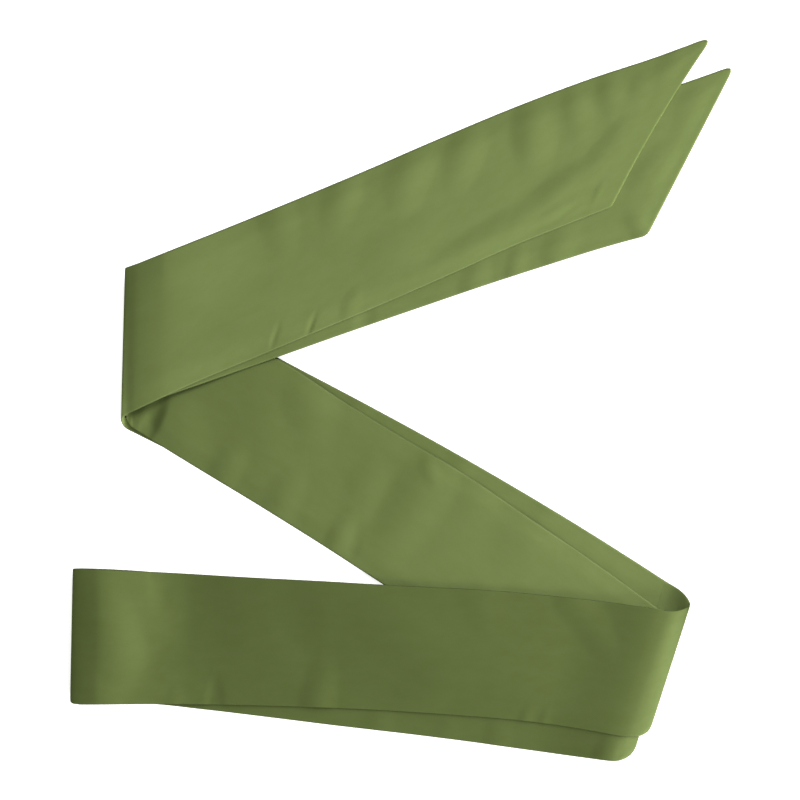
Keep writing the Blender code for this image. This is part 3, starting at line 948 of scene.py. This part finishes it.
lower_top = placed(
    leg_sections(crown_line(END_FOLD), LOWER_LEG_TOP, crown_line(RIGHT_OUTER_FOLD)), lower_leg_top
)
lower_under = placed(
    leg_sections(heel_line(END_FOLD), LOWER_LEG_UNDER, crown_line(RIGHT_INNER_FOLD)), lower_leg_under
)
middle_top = placed(
    leg_sections(heel_line(LEFT_INNER_FOLD), MIDDLE_LEG_TOP, heel_line(RIGHT_INNER_FOLD)),
    middle_leg_top,
)
middle_under = placed(
    leg_sections(heel_line(LEFT_OUTER_FOLD), MIDDLE_LEG_UNDER, heel_line(RIGHT_OUTER_FOLD)),
    middle_leg_under,
)
upper_top_plan, upper_top_end = sewn_end(
    leg_sections(crown_line(LEFT_OUTER_FOLD), UPPER_LEG_TOP[:-1], UPPER_LEG_TOP[-1], closed=True),
    drawn_in=3.0,
    draw_reach=DRAW_REACH,
    upper_reach=14.0,
    lower_reach=4.0,
)
upper_top = placed(upper_top_plan, upper_leg_top)
upper_under_plan, upper_under_end = sewn_end(
    leg_sections(crown_line(LEFT_INNER_FOLD), UPPER_LEG_UNDER[:-1], UPPER_LEG_UNDER[-1], closed=True),
    drawn_in=0.0,
    draw_reach=DRAW_REACH,
    upper_reach=10.0,
    lower_reach=5.0,
)
upper_under = placed(upper_under_plan, upper_leg_under)
print("rows along the upper leg:", len(upper_top))

# %% Points of the five turns
end_turn = turn(END_FOLD, lower_top[0], lower_top[1], lower_under[0], lower_under[1])
right_outer_turn = turn(
    RIGHT_OUTER_FOLD, lower_top[-1], lower_top[-2], middle_under[-1], middle_under[-2]
)
right_inner_turn = turn(
    RIGHT_INNER_FOLD, lower_under[-1], lower_under[-2], middle_top[-1], middle_top[-2]
)
left_outer_turn = turn(LEFT_OUTER_FOLD, upper_top[0], upper_top[1], middle_under[0], middle_under[1])
left_inner_turn = turn(LEFT_INNER_FOLD, upper_under[0], upper_under[1], middle_top[0], middle_top[1])
print("rows round the end fold:", len(end_turn))

# %% Wrap and attach a piece
WELD_WITHIN = 0.01


def joined(*runs):
    """One grid from runs of rows that follow each other."""
    return np.concatenate(runs)


def sash_piece(name, node, face, creases, from_end=None):
    """One stretch as a tube of satin that stands for its solid.

    At a sewn end the plies meet in one line, and a weld makes them one edge there.
    """
    if from_end is not None:
        # Rows round the fold are nowhere near the sewn end, so any large distance will do for them.
        open_rows = np.full((len(face) - len(from_end), len(SHARES)), BAND)
        from_end = short_ends(joined(open_rows, from_end), closed=True)
    rings, from_side, to_end = tube(short_ends(face, closed=from_end is not None), creases, from_end)
    mesh = tube_mesh(name, rings, from_side=from_side, from_end=to_end)
    mesh.materials.append(SATIN)
    piece = bpy.data.objects.new(name, mesh)
    scene.collection.objects.link(piece)
    if from_end is not None:
        weld = piece.modifiers.new("sewn end", "WELD")
        weld.merge_threshold = WELD_WITHIN * MM
    ply = piece.modifiers.new("one ply of satin", "SOLIDIFY")
    ply.thickness = PLY * MM
    ply.offset = -1.0
    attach(piece, "root")
    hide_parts(node)


print("a sewn end is welded shut within", WELD_WITHIN, "mm")

# %% Make the six pieces
sash_piece(
    "upper_leg_top_satin",
    "upper_leg_top",
    joined(left_outer_turn[::-1], upper_top),
    UPPER_LEG_CREASES,
    upper_top_end,
)
sash_piece(
    "upper_leg_under_satin",
    "upper_leg_under",
    joined(left_inner_turn[::-1], upper_under),
    UPPER_LEG_UNDER_CREASES,
    upper_under_end,
)
sash_piece("middle_leg_top_satin", "middle_leg_top", middle_top, MIDDLE_LEG_CREASES)
sash_piece("middle_leg_under_satin", "middle_leg_under", middle_under, MIDDLE_LEG_UNDER_CREASES)
sash_piece(
    "lower_leg_top_satin",
    "lower_leg_top",
    joined(end_turn[::-1], lower_top, right_outer_turn),
    LOWER_LEG_CREASES,
)
sash_piece(
    "lower_leg_under_satin",
    "lower_leg_under",
    joined(lower_under, right_inner_turn),
    LOWER_LEG_UNDER_CREASES,
)

# %% [markdown]
# ## A pale surface and soft light
#
# Satin shows its form by where it shines. Two far, low softboxes on the right give every ridge a bright
# and a dark side. Each stands nearly square to the threads of one slanting leg, and both are some 50
# degrees off the threads of the lowest leg, which is why that one looks darker though its dye is the
# same. A weaker box higher up and an even white surround keep the dark sides from going black. The sash
# lies on white paper that glows weakly, as on a light table, so no hard shadow surrounds it.

# %% Surface
FLOOR_SIZE = 12.0
PAPER_WHITE, GLOW_WHITE = "#f4f4f4", "#ffffff"
PAPER_ROUGHNESS = 0.9
TABLE_GLOW = 0.75

bpy.ops.mesh.primitive_plane_add(size=FLOOR_SIZE)
floor = bpy.context.object
floor.name = "pale_surface"
PAPER = bpy.data.materials.new("white_paper")
PAPER.use_nodes = True
paper_finish = {
    "Base Color": linear(PAPER_WHITE),
    "Roughness": PAPER_ROUGHNESS,
    "Emission Color": linear(GLOW_WHITE),
    "Emission Strength": TABLE_GLOW,
}
for socket, value in paper_finish.items():
    PAPER.node_tree.nodes["Principled BSDF"].inputs[socket].default_value = value
floor.data.materials.append(PAPER)
floor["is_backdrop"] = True
print("surface", FLOOR_SIZE, "m across")

# %% Lights
# Azimuth and elevation are degrees as seen from the sash, distance and size metres, and power watts.
Softbox = namedtuple("Softbox", "name azimuth elevation distance size power")
SOFTBOXES = (
    Softbox("right_front", -60.0, 17.0, 4.5, 1.7, 348.0),
    Softbox("right_back", 45.0, 15.0, 4.5, 1.7, 332.0),
    Softbox("fill_above", 70.0, 45.0, 4.5, 1.7, 46.0),
)
SURROUND = 0.28


def hang(softbox):
    """A square area light that faces the middle of the sash."""
    turn_angle, rise = radians(softbox.azimuth), radians(softbox.elevation)
    toward = Vector((cos(turn_angle) * cos(rise), sin(turn_angle) * cos(rise), sin(rise)))
    data = bpy.data.lights.new(softbox.name, "AREA")
    data.size = softbox.size
    data.energy = softbox.power
    light = bpy.data.objects.new(softbox.name, data)
    light.location = toward * softbox.distance
    light.rotation_mode = "QUATERNION"
    light.rotation_quaternion = toward.to_track_quat("Z", "Y")
    scene.collection.objects.link(light)


for softbox in SOFTBOXES:
    hang(softbox)

world = bpy.data.worlds.new("white_surround")
world.use_nodes = True
world.node_tree.nodes["Background"].inputs["Color"].default_value = (1.0, 1.0, 1.0, 1.0)
world.node_tree.nodes["Background"].inputs["Strength"].default_value = SURROUND
scene.world = world
scene.view_settings.view_transform = "Standard"
print(len(SOFTBOXES), "softboxes and a white surround")

# %% [markdown]
# ## The size of the dressed sash
#
# The boxes of the solids and of the dressed pieces are printed side by side. Cloth may stand a little
# proud of the solid it dresses, and no more.

dressed_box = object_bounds()
for name, (low, high) in (("solids", cad_box), ("dressed", dressed_box)):
    print(name, "mm:", " x ".join(f"{1000 * (b - a):.1f}" for a, b in zip(low, high)))
